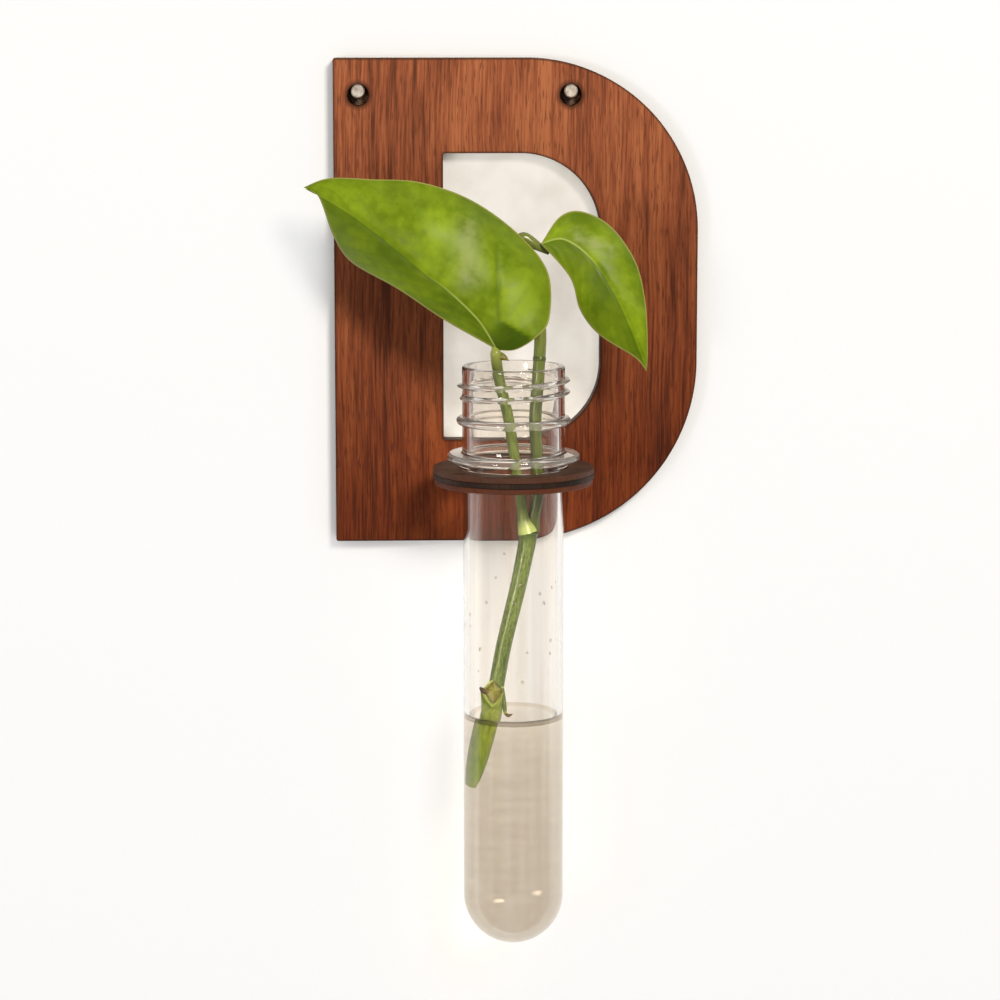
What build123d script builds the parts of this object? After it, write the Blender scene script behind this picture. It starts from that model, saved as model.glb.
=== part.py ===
"""Wall-hung propagation vase: a D-shaped plywood plate on two pins, a ring, a test tube, water and a cutting.

Millimetres. The origin is midway between the axes of the two hanging pins, in the plane of the wall.
+X points right, +Y into the wall and +Z up.
"""

import os
from math import cos, radians, sin, sqrt, tan

from build123d import *

os.makedirs("parts", exist_ok=True)

# Plate: laser-cut plywood, a walnut veneer on each face of a core
plate_width = 92.2
plate_height = 122.8
veneer_thickness = 0.6
core_thickness = 4.8
spine_width = 27.6
bowl_width = 24.7
top_bar = 23.8
bottom_bar = 26.1
bowl_top_radius = 43.4
bowl_bottom_radius = 46.0
counter_top_radius = 20.4
counter_bottom_radius = 19.5
corner_radius = 0.6

# Hanging pins, on which the plate's oversize holes rest: each has a thinner shank in the wall
pin_diameter = 3.4
shank_diameter = 3.0
pin_play = 2.0
pin_from_spine_edge = 6.3
pin_from_bowl_edge = 32.4
pin_hole_from_top = 9.2
pin_proud = 1.5
shoulder_in_wall = 0.5
pin_in_wall = 20.0
pin_point = 4.0
pin_chamfer = 0.3

# Ring: three plies, with a bridge to the plate and a tenon through it
ring_diameter = 40.0
top_ply = 1.4
middle_ply = 1.3
bottom_ply = 1.4
kerf_taper = 0.35
ring_from_left = 44.5
ring_gap = 3.0
slot_cover = 3.5
bridge_width = 20.0
bridge_fillet = 2.0
tenon_width = 14.0
tenon_play = 0.1

# Tube: a clear screw-neck tube that hangs in the ring by the collar under its flange
tube_body_diameter = 25.1
tube_wall = 1.4
tube_drop = 122.1
ring_clearance = 0.45
collar_seat = 0.8
collar_height = 1.6
flange_lip = 2.7
flange_thickness = 2.0
flange_round = 0.9
neck_wall = 1.65
neck_length = 21.7
neck_round = 0.5
bead_above_flange = 8.1
bead_height = 1.4
bead_half_length = 1.1

# Water: a rounded column that stands in the tube
water_depth = 57.4
water_film = 0.1
stem_pocket = 0.3

# Cutting: a vine with a cut end, two petioles and two leaves
vine_diameter = 3.8
node_diameter = 5.0
node_x = 3.4
node_y = -4.0
node_drop = 15.8
node_length = 3.5
stub_top_diameter = 5.2
stub_foot_diameter = 3.8
stub_rise = 5.3
stub_dip = 17.7
stub_wall_gap = 1.0
stub_foot_angle = 183.0
sheath_diameter = 6.4
sheath_length = 6.5
sheath_rise = 2.0
petiole_large_diameter = 2.6
petiole_small_diameter = 3.0
petiole_gap = 0.2
petiole_turn = 22.0
rim_gap = 0.3
leaf_gap = 0.4
leaf_thickness = 0.6
leaf_tilt = 9.2

# Large leaf: its outline in shares of its length and of its width above the line from base to tip
large_length = 61.4
large_width = 25.3
large_angle = 139.7
large_base_left = 0.6
large_base_out = 1.5
large_base_above_rim = 5.0
large_upper = [(0.94, 0.22), (0.81, 0.46), (0.66, 0.74), (0.47, 0.94), (0.24, 1.0), (0.06, 0.89), (-0.06, 0.54)]
large_lobe = [(-0.065, 0.33), (-0.05, 0.11)]
large_lower = [(0.24, 0.11), (0.46, 0.17), (0.66, 0.25), (0.78, 0.18), (0.93, -0.02)]
large_arch_radius = 18.0
large_crest = -10.0
large_bend_radius = 90.0
large_bend_at = 22.0

# Small leaf, in the same terms
small_length = 40.9
small_width = 16.1
small_angle = -50.2
small_base_x = 6.7
small_base_y = -1.0
small_base_above_rim = 30.3
small_upper = [(-0.05, 0.48), (0.01, 0.8), (0.19, 1.0), (0.44, 0.94), (0.65, 0.68), (0.9, 0.22)]
small_lower = [(0.27, 0.0), (0.46, 0.19), (0.65, 0.2), (0.89, 0.01)]
small_arch_radius = 13.0
small_crest = 6.0
small_bend_radius = 60.0
small_bend_at = 15.0

# Places that follow from the sizes
pin_radius = pin_diameter / 2
shank_radius = shank_diameter / 2
pin_spacing = plate_width - pin_from_spine_edge - pin_from_bowl_edge
pin_hole_diameter = pin_diameter + pin_play
plate_thickness = core_thickness + 2 * veneer_thickness
pin_hole_z = -pin_play / 2
plate_left = -pin_spacing / 2 - pin_from_spine_edge
plate_right = plate_left + plate_width
plate_top = pin_hole_z + pin_hole_from_top
plate_bottom = plate_top - plate_height
ring_thickness = top_ply + middle_ply + bottom_ply
ring_top = plate_bottom + bottom_bar - slot_cover
ring_bottom = ring_top - ring_thickness
slot_height = ring_thickness + tenon_play
tube_x = plate_left + ring_from_left
tube_y = -(plate_thickness + ring_gap + ring_diameter / 2)
tube_axis = Axis((tube_x, tube_y, 0), (0, 0, 1))
body_radius = tube_body_diameter / 2
bore_radius = body_radius - tube_wall
ring_hole_radius = body_radius + ring_clearance
collar_radius = ring_hole_radius + collar_seat
flange_radius = collar_radius + flange_lip
flange_top = collar_height + flange_thickness
neck_radius = bore_radius + neck_wall
bead_z = flange_top + bead_above_flange
rim_z = flange_top + neck_length
round_centre = body_radius - tube_drop
water_z = round_centre - bore_radius + water_depth


def at(x, y, z):
    """A place given from the tube's axis and the ring's top face, in the vase's frame."""
    return (tube_x + x, tube_y + y, ring_top + z)


def save(piece, label):
    """Names a finished piece and writes it."""
    piece.part.label = label
    export_step(piece.part, f"parts/{label}.step")


def plate_layer(from_wall, thickness):
    """One layer of the plate: the outline, less the counter, the pin holes and the ring's slot."""
    with BuildPart() as layer:
        with BuildSketch(Plane.XZ.offset(from_wall)):
            with BuildLine():
                FilletPolyline(
                    (plate_left, plate_bottom),
                    (plate_left, plate_top),
                    (plate_right, plate_top),
                    (plate_right, plate_bottom),
                    radius=[corner_radius, corner_radius, bowl_top_radius, bowl_bottom_radius],
                    close=True,
                )
            make_face()
            with BuildLine():
                FilletPolyline(
                    (plate_left + spine_width, plate_bottom + bottom_bar),
                    (plate_left + spine_width, plate_top - top_bar),
                    (plate_right - bowl_width, plate_top - top_bar),
                    (plate_right - bowl_width, plate_bottom + bottom_bar),
                    radius=[corner_radius, corner_radius, counter_top_radius, counter_bottom_radius],
                    close=True,
                )
            make_face(mode=Mode.SUBTRACT)
            with Locations((-pin_spacing / 2, pin_hole_z), (pin_spacing / 2, pin_hole_z)):
                Circle(pin_hole_diameter / 2, mode=Mode.SUBTRACT)
            with Locations((tube_x, ring_bottom + slot_height / 2)):
                Rectangle(tenon_width + 2 * tenon_play, slot_height, mode=Mode.SUBTRACT)
        extrude(amount=thickness)
    return layer


# Plate, from the wall outwards
save(plate_layer(0, veneer_thickness), "plate_back_veneer")
save(plate_layer(veneer_thickness, core_thickness), "plate_core")
save(plate_layer(veneer_thickness + core_thickness, veneer_thickness), "plate_front_veneer")

# Hanging pins: a flat front end, and a shank with a point in the wall
with BuildPart() as hanging_pins:
    pin_front = -plate_thickness - pin_proud
    for pin_x in (-pin_spacing / 2, pin_spacing / 2):
        with BuildSketch():
            with BuildLine():
                Polyline(
                    (pin_x, pin_front),
                    (pin_x + pin_radius - pin_chamfer, pin_front),
                    (pin_x + pin_radius, pin_front + pin_chamfer),
                    (pin_x + pin_radius, shoulder_in_wall),
                    (pin_x + shank_radius, shoulder_in_wall),
                    (pin_x + shank_radius, pin_in_wall - pin_point),
                    (pin_x, pin_in_wall),
                    close=True,
                )
            make_face()
        revolve(axis=Axis((pin_x, 0, 0), (0, 1, 0)))
save(hanging_pins, "hanging_pins")


def ring_ply(from_z, thickness, cut_back):
    """One ply of the ring, with its share of the bridge to the plate and of the tenon."""
    bridge_length = -plate_thickness - tube_y
    with BuildPart() as ply:
        with BuildSketch(Plane.XY.offset(from_z)) as ply_face:
            with Locations((tube_x, tube_y)):
                Circle(ring_diameter / 2 - cut_back)
            with Locations((tube_x, tube_y + bridge_length / 2)):
                Rectangle(bridge_width, bridge_length)
            between = (tube_y, -plate_thickness)
            roots = ply_face.vertices().filter_by_position(Axis.Y, *between, inclusive=(False, False))
            fillet(roots, bridge_fillet)
            with Locations((tube_x, -plate_thickness / 2)):
                Rectangle(tenon_width, plate_thickness)
            with Locations((tube_x, tube_y)):
                Circle(ring_hole_radius, mode=Mode.SUBTRACT)
        extrude(amount=thickness)
    return ply


# Ring, from the bottom up: the laser's cut narrows the bottom ply
save(ring_ply(ring_bottom, bottom_ply, kerf_taper), "ring_bottom_ply")
save(ring_ply(ring_bottom + bottom_ply, middle_ply, 0), "ring_core_ply")
save(ring_ply(ring_top - top_ply, top_ply, 0), "ring_top_ply")

# Test tube: round bottom, plain body, collar, flange, bead and rim
profile_plane = Plane(origin=at(0, 0, 0), x_dir=(1, 0, 0), z_dir=(0, -1, 0))
with BuildPart() as test_tube:
    with BuildSketch(profile_plane) as tube_profile:
        with BuildLine():
            CenterArc((0, round_centre), body_radius, -90, 90)
            Polyline(
                (body_radius, round_centre),
                (body_radius, 0),
                (collar_radius, 0),
                (collar_radius, collar_height),
                (flange_radius, collar_height),
                (flange_radius, flange_top),
                (neck_radius, flange_top),
                (neck_radius, bead_z - bead_half_length),
            )
            ThreePointArc(
                (neck_radius, bead_z - bead_half_length),
                (neck_radius + bead_height, bead_z),
                (neck_radius, bead_z + bead_half_length),
            )
            Polyline(
                (neck_radius, bead_z + bead_half_length),
                (neck_radius, rim_z),
                (bore_radius, rim_z),
                (bore_radius, round_centre),
            )
            CenterArc((0, round_centre), bore_radius, 0, -90)
            Line((0, round_centre - bore_radius), (0, round_centre - body_radius))
        make_face()
        fillet(tube_profile.vertices().group_by(Axis.X)[-1], flange_round)
        fillet(tube_profile.vertices().group_by(Axis.Y)[-1], neck_round)
    revolve(axis=tube_axis)
save(test_tube, "test_tube")

# The vine's cut end: it leans from the lower node to a foot near the tube's wall, under water
stub_top = at(-0.44 * bore_radius, -0.45 * bore_radius, water_z + stub_rise)
foot_reach = bore_radius - stub_foot_diameter / 2 - stub_wall_gap
foot_turn = radians(stub_foot_angle)
stub_foot = at(foot_reach * cos(foot_turn), foot_reach * sin(foot_turn), water_z - stub_dip)
stub_run = Vector(*stub_foot) - Vector(*stub_top)
stub_plane = Plane(origin=stub_top, z_dir=stub_run)
stub_length = stub_run.length
on_end = (Align.CENTER, Align.CENTER, Align.MIN)

# Water, with a pocket for the vine's cut end
with BuildPart() as water:
    water_radius = bore_radius - water_film
    with BuildSketch(profile_plane):
        with BuildLine():
            CenterArc((0, round_centre), water_radius, -90, 90)
            Polyline((water_radius, round_centre), (water_radius, water_z), (0, water_z))
            Line((0, water_z), (0, round_centre - water_radius))
        make_face()
    revolve(axis=tube_axis)
    with Locations(stub_plane):
        Cone(
            stub_top_diameter / 2 + stem_pocket,
            stub_foot_diameter / 2 + stem_pocket,
            stub_length + stem_pocket,
            align=on_end,
            mode=Mode.SUBTRACT,
        )
save(water, "water")


def bend_radii(points):
    """The largest even bends of a stem's route: each takes 0.45 of the shorter run beside it."""
    places = [Vector(*point) for point in points]
    runs = [end - start for start, end in zip(places, places[1:])]
    return [0.45 * min(a.length, b.length) / tan(radians(a.get_angle(b)) / 2) for a, b in zip(runs, runs[1:])]


def round_stem(points, diameter):
    """A round stem along straight runs joined by tangent arcs."""
    with BuildPart() as stem:
        with BuildLine() as route:
            FilletPolyline(*points, radius=bend_radii(points))
        with BuildSketch(Plane(origin=route.line @ 0, z_dir=route.line % 0)):
            Circle(diameter / 2)
        sweep()
    return stem


# Vine: down from the upper node, through the lower node with its cut sheath, to the cut end
node_z = -node_drop
vine_fall = water_z - node_z
vine_route = [
    at(node_x, node_y, node_z),
    at(node_x, node_y, node_z - node_length),
    at(0.08 * bore_radius, -0.38 * bore_radius, node_z + 0.3 * vine_fall),
    at(-0.22 * bore_radius, -0.41 * bore_radius, node_z + 0.6 * vine_fall),
    stub_top,
]
with BuildPart() as vine_stem:
    add(round_stem(vine_route, vine_diameter).part)
    with Locations(Plane(origin=vine_route[0], z_dir=(0, 0, -1))):
        Cone(node_diameter / 2, vine_diameter / 4, node_length, align=on_end)
    with Locations(stub_plane):
        Cone(stub_top_diameter / 2, stub_foot_diameter / 2, stub_length, align=on_end)
    with Locations(stub_plane.offset(-sheath_rise)):
        Cone(sheath_diameter / 2, stub_top_diameter / 2, sheath_length, align=on_end)
save(vine_stem, "vine_stem")

# Both petioles stand on the upper node, side by side
side_x = cos(radians(petiole_turn))
side_y = sin(radians(petiole_turn))
large_reach = (petiole_large_diameter + petiole_gap) / 2
small_reach = (petiole_small_diameter + petiole_gap) / 2
large_x = node_x - large_reach * side_x
large_y = node_y - large_reach * side_y
small_x = node_x + small_reach * side_x
small_y = node_y + small_reach * side_y

# Petiole of the large leaf: it leans on the rim's front edge
lean_x = -0.34 * bore_radius
lean_reach = bore_radius - petiole_large_diameter / 2 - rim_gap
lean_y = -sqrt(lean_reach**2 - lean_x**2)
large_base = (lean_x - large_base_left, lean_y - large_base_out, rim_z + large_base_above_rim)
petiole_large_route = [
    at(large_x, large_y, node_z),
    at(large_x, large_y, node_z + node_length),
    at(0.13 * bore_radius, -0.43 * bore_radius, 0.4 * node_z),
    at(-0.02 * bore_radius, -0.5 * bore_radius, 1.4 * flange_top),
    at(-0.13 * bore_radius, -0.61 * bore_radius, 1.1 * bead_z),
    at(-0.26 * bore_radius, -0.72 * bore_radius, 0.8 * rim_z),
    at(lean_x, lean_y, rim_z),
    at(large_base[0], large_base[1], large_base[2] - leaf_gap),
]
save(round_stem(petiole_large_route, petiole_large_diameter), "petiole_large")

# Petiole of the small leaf: it rises behind the large leaf and arches over, to end behind its own blade
small_base_z = rim_z + small_base_above_rim
behind_y = small_base_y + leaf_thickness + leaf_gap + petiole_small_diameter / 2
petiole_small_route = [
    at(small_x, small_y, node_z),
    at(small_x, small_y, node_z + node_length),
    at(0.51 * bore_radius, -0.32 * bore_radius, 0.4 * node_z),
    at(0.5 * bore_radius, -0.33 * bore_radius, flange_top),
    at(0.46 * bore_radius, -0.34 * bore_radius, bead_z),
    at(0.49 * bore_radius, -0.33 * bore_radius, 0.72 * rim_z),
    at(0.56 * bore_radius, -0.29 * bore_radius, 1.08 * rim_z),
    at(0.57 * bore_radius, -0.2 * bore_radius, 1.4 * rim_z),
    at(0.38 * bore_radius, -0.07 * bore_radius, small_base_z - 0.36 * small_base_above_rim),
    at(0.11 * bore_radius, behind_y, small_base_z - 0.1 * small_base_above_rim),
    at(0.19 * bore_radius, behind_y, small_base_z + 0.04 * small_base_above_rim),
    at(small_base_x + 0.7 * petiole_small_diameter, behind_y, small_base_z - 0.9 * petiole_small_diameter),
]
save(round_stem(petiole_small_route, petiole_small_diameter), "petiole_small")


def leaf_blade(base, angle, upper, lower, arch_radius, crest, bend_radius, bend_at):
    """A thin blade: its outline, cut from a sheet that arches across the blade and bends along it."""
    turn = radians(angle)
    tilt = radians(leaf_tilt)
    along = (cos(turn), sin(turn) * sin(tilt), sin(turn) * cos(tilt))
    leaf_plane = Plane(origin=base, x_dir=along, z_dir=(0, -cos(tilt), sin(tilt)))
    arch_rise = arch_radius - sqrt(arch_radius**2 - crest**2)
    bend_rise = bend_radius - sqrt(bend_radius**2 - bend_at**2)
    rise = arch_rise + bend_rise
    middle = leaf_plane.from_local_coords((bend_at, 0, 0))
    section = Plane(origin=middle, x_dir=leaf_plane.y_dir, z_dir=leaf_plane.x_dir)
    bend_axis = Axis(leaf_plane.from_local_coords((bend_at, 0, rise - bend_radius)), leaf_plane.y_dir)
    under_radius = arch_radius - leaf_thickness
    arch_z = rise - arch_radius
    with BuildPart() as blade:
        with BuildSketch(section):
            with BuildLine():
                CenterArc((crest, arch_z), arch_radius, 0, 180)
                CenterArc((crest, arch_z), under_radius, 0, 180)
                Line((crest - arch_radius, arch_z), (crest - under_radius, arch_z))
                Line((crest + under_radius, arch_z), (crest + arch_radius, arch_z))
            make_face()
        revolve(axis=bend_axis)
        with BuildSketch(leaf_plane):
            with BuildLine():
                Spline(*upper)
                Spline(*lower)
            make_face()
        extrude(amount=2 * arch_radius, both=True, mode=Mode.INTERSECT)
    return blade


# Large leaf: its broad side lies above the line from base to tip
large_tip = (large_length, 0)
large_leaf = leaf_blade(
    at(*large_base),
    large_angle,
    [large_tip, *[(s * large_length, -w * large_width) for s, w in large_upper + large_lobe], (0, 0)],
    [(0, 0), *[(s * large_length, w * large_width) for s, w in large_lower], large_tip],
    large_arch_radius,
    large_crest,
    large_bend_radius,
    large_bend_at,
)
save(large_leaf, "leaf_large")

# Small leaf: it hangs to the right, its broad side up
small_tip = (small_length, 0)
small_leaf = leaf_blade(
    at(small_base_x, small_base_y, small_base_z),
    small_angle,
    [(0, 0), *[(s * small_length, w * small_width) for s, w in small_upper], small_tip],
    [(0, 0), *[(s * small_length, -w * small_width) for s, w in small_lower], small_tip],
    small_arch_radius,
    small_crest,
    small_bend_radius,
    small_bend_at,
)
save(small_leaf, "leaf_small")
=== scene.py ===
"""Looks of the wall-hung propagation vase.

Walnut plate and ring, steel pins, clear tube, water and a vine cutting. Sizes are in millimetres, in the
part's own frame: +X right, +Y into the wall, +Z up. Meshes are written in metres.
"""

import functools
import math

import bpy
import bmesh
import numpy as np
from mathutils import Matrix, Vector
from mathutils.geometry import tessellate_polygon


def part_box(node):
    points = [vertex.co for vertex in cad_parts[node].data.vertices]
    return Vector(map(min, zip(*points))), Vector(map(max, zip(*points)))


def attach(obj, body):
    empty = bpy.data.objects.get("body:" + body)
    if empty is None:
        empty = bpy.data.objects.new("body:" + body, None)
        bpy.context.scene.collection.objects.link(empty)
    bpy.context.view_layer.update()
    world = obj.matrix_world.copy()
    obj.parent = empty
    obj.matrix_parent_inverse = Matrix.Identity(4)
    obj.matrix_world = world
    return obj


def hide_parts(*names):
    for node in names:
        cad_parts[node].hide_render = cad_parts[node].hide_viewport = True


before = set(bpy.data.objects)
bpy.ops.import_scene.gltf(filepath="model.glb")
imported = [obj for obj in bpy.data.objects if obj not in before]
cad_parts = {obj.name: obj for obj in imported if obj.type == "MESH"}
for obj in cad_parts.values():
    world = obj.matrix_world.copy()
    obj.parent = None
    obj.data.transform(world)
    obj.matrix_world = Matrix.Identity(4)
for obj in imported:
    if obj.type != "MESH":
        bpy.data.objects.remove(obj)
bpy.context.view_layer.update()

MM = 0.001

# Places read from the frame
plate_low, plate_high = (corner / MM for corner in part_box("plate_core"))
front_low, front_high = (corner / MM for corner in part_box("plate_front_veneer"))
back_low, back_high = (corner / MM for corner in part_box("plate_back_veneer"))
tube_low, tube_high = (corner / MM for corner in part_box("test_tube"))
tube_x = (tube_low.x + tube_high.x) / 2
tube_y = (tube_low.y + tube_high.y) / 2
ring_top = (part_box("ring_top_ply")[1] / MM).z

# Plate, as the laser cuts it
SPINE_WIDTH = 27.6
BOWL_WIDTH = 24.7
TOP_BAR = 23.8
BOTTOM_BAR = 26.1
BOWL_RADII = (43.4, 46.0)
COUNTER_RADII = (20.4, 19.5)
CORNER = 0.6
PIN_X = 26.75
PIN_HOLE_RADIUS = 2.7
PIN_HOLE_Z = -1.0
SLOT_HALF_WIDTH = 7.1
SLOT_HEIGHT = 4.2
EDGE_BEVEL = 0.15
# Width of the edge band: the laser's char on the plate, a painted highlight on the ring plies
CHAR_AND_HIGHLIGHT_HALO = 0.65
HOLE_HALO = 1.4

# Walnut grain: its sizes across, into and along the sheet, and the detail of its noise
GRAIN = {
    "band": (13, 30, 170, 2.0),
    "streak": (2.4, 6, 70, 3.0),
    "fibre": (0.55, 2, 14, 3.0),
    "pore": (0.38, 1, 4.2, 1.0),
}
GRAIN_WANDER = 45.0
GRAIN_SWAY = 3.0
# Painted shade: how the veneer's darkening towards its lower right leans, and the heights between which it
# comes in
PAINTED_SHADE_LEAN = -0.25
PAINTED_SHADE_BETWEEN = (-5.0, -100.0)

# Ring
RING_RADIUS = 20.0
KERF_TAPER = 0.35
RING_HOLE_RADIUS = 13.0
BRIDGE_HALF_WIDTH = 10.0
BRIDGE_FILLET = 2.0
TENON_HALF_WIDTH = 7.0

# Tube, from its axis and the ring's top face
BODY_RADIUS = 12.55
BORE_RADIUS = 11.15
COLLAR_RADIUS = 13.8
COLLAR_HEIGHT = 1.6
COLLAR_EDGE = 0.1
FLANGE_RADIUS = 16.5
FLANGE_TOP = 3.6
FLANGE_ROUND = 0.9
NECK_RADIUS = 12.8
NECK_FILLET = 0.6
BEAD_Z = 11.7
BEAD_HEIGHT = 1.4
BEAD_HALF_LENGTH = 1.1
BEAD_BLUNTNESS = 0.8
RIDGE_SHOWS = 0.2
RIM_Z = 25.3
RIM_ROUND = 0.5
TUBE_DROP = 122.1
BOTTOM_Z = BODY_RADIUS - TUBE_DROP
THREAD_HEIGHT = 1.25
THREAD_PITCH = 2.95
THREAD_HALF_WIDTH = 0.75
THREAD_START = 17.3
THREAD_TURNS = 1.75
THREAD_TURN_FROM = 170.0
THREAD_RUN_OUT = 0.08
THREAD_SHARPNESS = 1.2
TUBE_SIDES = 192
POLYESTER_IOR = 1.57

# Water
WATER_Z = -63.3
WATER_OVERLAP = 0.06
WATER_SIDES = 160
WATER_IOR = 1.333
CALM_IOR = 1.05
PAINTED_SHADE_DEPTH = 12.0
MENISCUS_RISE = 0.9
MENISCUS_REACH = 2.0
MENISCUS_SPAN = 2.2
MENISCUS_FALL = 2.6
MENISCUS_FOOT = 0.6
DROPLETS_BETWEEN = (-54.0, -18.0)
DROPLETS_PER_SQUARE_METRE = 5200.0
DROPLET_RADII = (0.25, 0.55)
DROPLET_FLATNESS = 0.4
DROPLET_SEED = 5

# Stems and the cut node, from the tube's axis and the ring's top face
STEM_RADIUS = 2.0
STEM_LENGTH = 50.0
NODE_Z = -15.8
STUB_TOP = (-4.9, -5.02, WATER_Z + 5.3)
STUB_FOOT = (-8.9, -0.43, WATER_Z - 17.7)
LARGE_BASE = (-4.39, -10.27, RIM_Z + 5.0)
SMALL_BASE = (6.7, -1.0, RIM_Z + 30.3)
CUP_TOP = (-5.4, -7.75, WATER_Z + 7.4)
CUP_FOOT = (-5.7, -5.7, WATER_Z - 0.6)
CUP_RADII = (2.65, 1.9)
CUP_DEPTH_SHARE = 0.7
CUP_SLANT = 3.1
CUP_CORNER = 0.9
CUP_CORNER_TURN = 185.0
CUP_HOLLOW = 0.4

# Leaves: outlines in shares of length and width, from the base to the tip
LARGE = {
    "base": LARGE_BASE,
    "angle": 139.3,
    "length": 62.3,
    "width": -25.3,
    "arch": 18.0,
    "crest": -10.0,
    "bend": 90.0,
    "bend_at": 22.0,
    "upper": [
        (-0.055, 0.12),
        (-0.084, 0.34),
        (-0.074, 0.56),
        (0.05, 0.9),
        (0.24, 1.0),
        (0.47, 0.94),
        (0.66, 0.74),
        (0.81, 0.46),
        (0.94, 0.22),
    ],
    "lower": [(0.24, -0.11), (0.46, -0.17), (0.66, -0.25), (0.78, -0.18), (0.93, 0.02)],
    "midrib": [(0.1, 0.08), (0.18, 0.11), (0.31, 0.12), (0.42, 0.1), (0.6, 0.1), (0.72, 0.09), (0.83, 0.065)],
    "lobe": ((5.1, -5.9), (-4.2, -7.7), 1.8),
    "crease": ((15.0, -17.3), (5.1, -5.9)),
    # Painted sheen: a pale patch along a line on the blade, and its reach
    "painted_sheen": ((24.8, -17.6), (16.4, -8.0), 2.8),
}
SMALL = {
    "base": SMALL_BASE,
    "angle": -50.2,
    "length": 40.9,
    "width": 16.1,
    "arch": 13.0,
    "crest": 6.0,
    "bend": 60.0,
    "bend_at": 15.0,
    "upper": [(-0.05, 0.48), (0.01, 0.8), (0.19, 1.0), (0.44, 0.94), (0.65, 0.68), (0.9, 0.22)],
    "lower": [(0.27, 0.0), (0.46, -0.19), (0.65, -0.2), (0.89, -0.01)],
    "midrib": [(0.07, 0.3), (0.25, 0.42), (0.5, 0.36), (0.75, 0.2)],
    # Painted sheen: a pale patch along a line on the blade, and its reach
    "painted_sheen": ((4.9, 8.1), (12.5, 11.7), 1.8),
}
LEAF_FOLD = 0.2
LEAF_TILT = 9.2
LEAF_THICKNESS = 0.4
LEAF_MERGE = 0.02
LEAF_ROWS = 110
LEAF_COLUMNS = 40
MIDRIB_GROOVE = 0.3
CREASE_GROOVE = 0.4
GROOVE_HALF_WIDTH = 0.8
BLISTER_HEIGHT = 0.35
BLISTER_SIZES = (3.1, 3.7)
BLISTER_RUN_IN = 6.0
MARGIN_SHADE = 0.4
UNDERSIDE_SHADE = 0.12
MIDRIB_SHADE = 0.55
MIDRIB_SHADE_REACH = 3.5
CREASE_SHADE = 0.45
CREASE_SHADE_REACH = 0.6
LOBE_SHADE = 0.92
LOBE_SHADE_REACH = 0.6

# Wall and lamps
WALL_REACH = 2500.0
WALL_FRONT = -0.5
BARE_WALL_FRONT = -0.6
NOOK_REACH = 9.0
LAMPS = [
    ("key", (340, -1100, 460), 240, 11.8, "#fff3e4"),
    ("side", (-620, -950, -100), 200, 2.4, "#fff8f0"),
    ("back", (-500, 900, 600), 800, 8.0, "#fffaf4"),
]
LAMPS_AIM = (12, -20, -80)

# Camera, fitted to the photograph
CAMERA_PLACE = (-21.24, -840.65, 30.82)
CAMERA_PITCH = 9.18
CAMERA_YAW = 2.07
CAMERA_LENS = 118.8
CAMERA_SENSOR = 36.0


def at(x, y, z):
    """A place given from the tube's axis and the ring's top face, in the part's frame."""
    return (tube_x + x, tube_y + y, ring_top + z)


def srgb(code):
    """An sRGB hex colour as the linear values that a shader takes."""
    shares = [int(code[i : i + 2], 16) / 255 for i in (1, 3, 5)]
    return tuple(c / 12.92 if c <= 0.04045 else ((c + 0.055) / 1.055) ** 2.4 for c in shares) + (1.0,)


def add_node(tree, kind, inputs=(), **settings):
    """Adds a node with its settings. A kind that is named without its family is a shader node.

    The inputs are in order, or named or numbered. Each takes a value, a socket or another node, and of
    another node the first output that its settings leave in use.
    """
    node = tree.nodes.new(kind if "Node" in kind else f"ShaderNode{kind}")
    for name, value in settings.items():
        setattr(node, name, value)
    for key, value in inputs.items() if isinstance(inputs, dict) else enumerate(inputs):
        if isinstance(value, bpy.types.Node):
            value = next(socket for socket in value.outputs if socket.enabled)
        if isinstance(value, bpy.types.NodeSocket):
            tree.links.new(value, node.inputs[key])
        else:
            node.inputs[key].default_value = value
    return node


def new_material(name):
    """An empty material, and the function that adds nodes to it."""
    material = bpy.data.materials.new(name)
    material.use_nodes = True
    material.node_tree.nodes.clear()
    return material, functools.partial(add_node, material.node_tree)


def pattern_scale(*sizes):
    """Mapping scale for a pattern of these sizes in millimetres along X, Y and Z."""
    return tuple(1 / (size * MM) for size in sizes)


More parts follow.
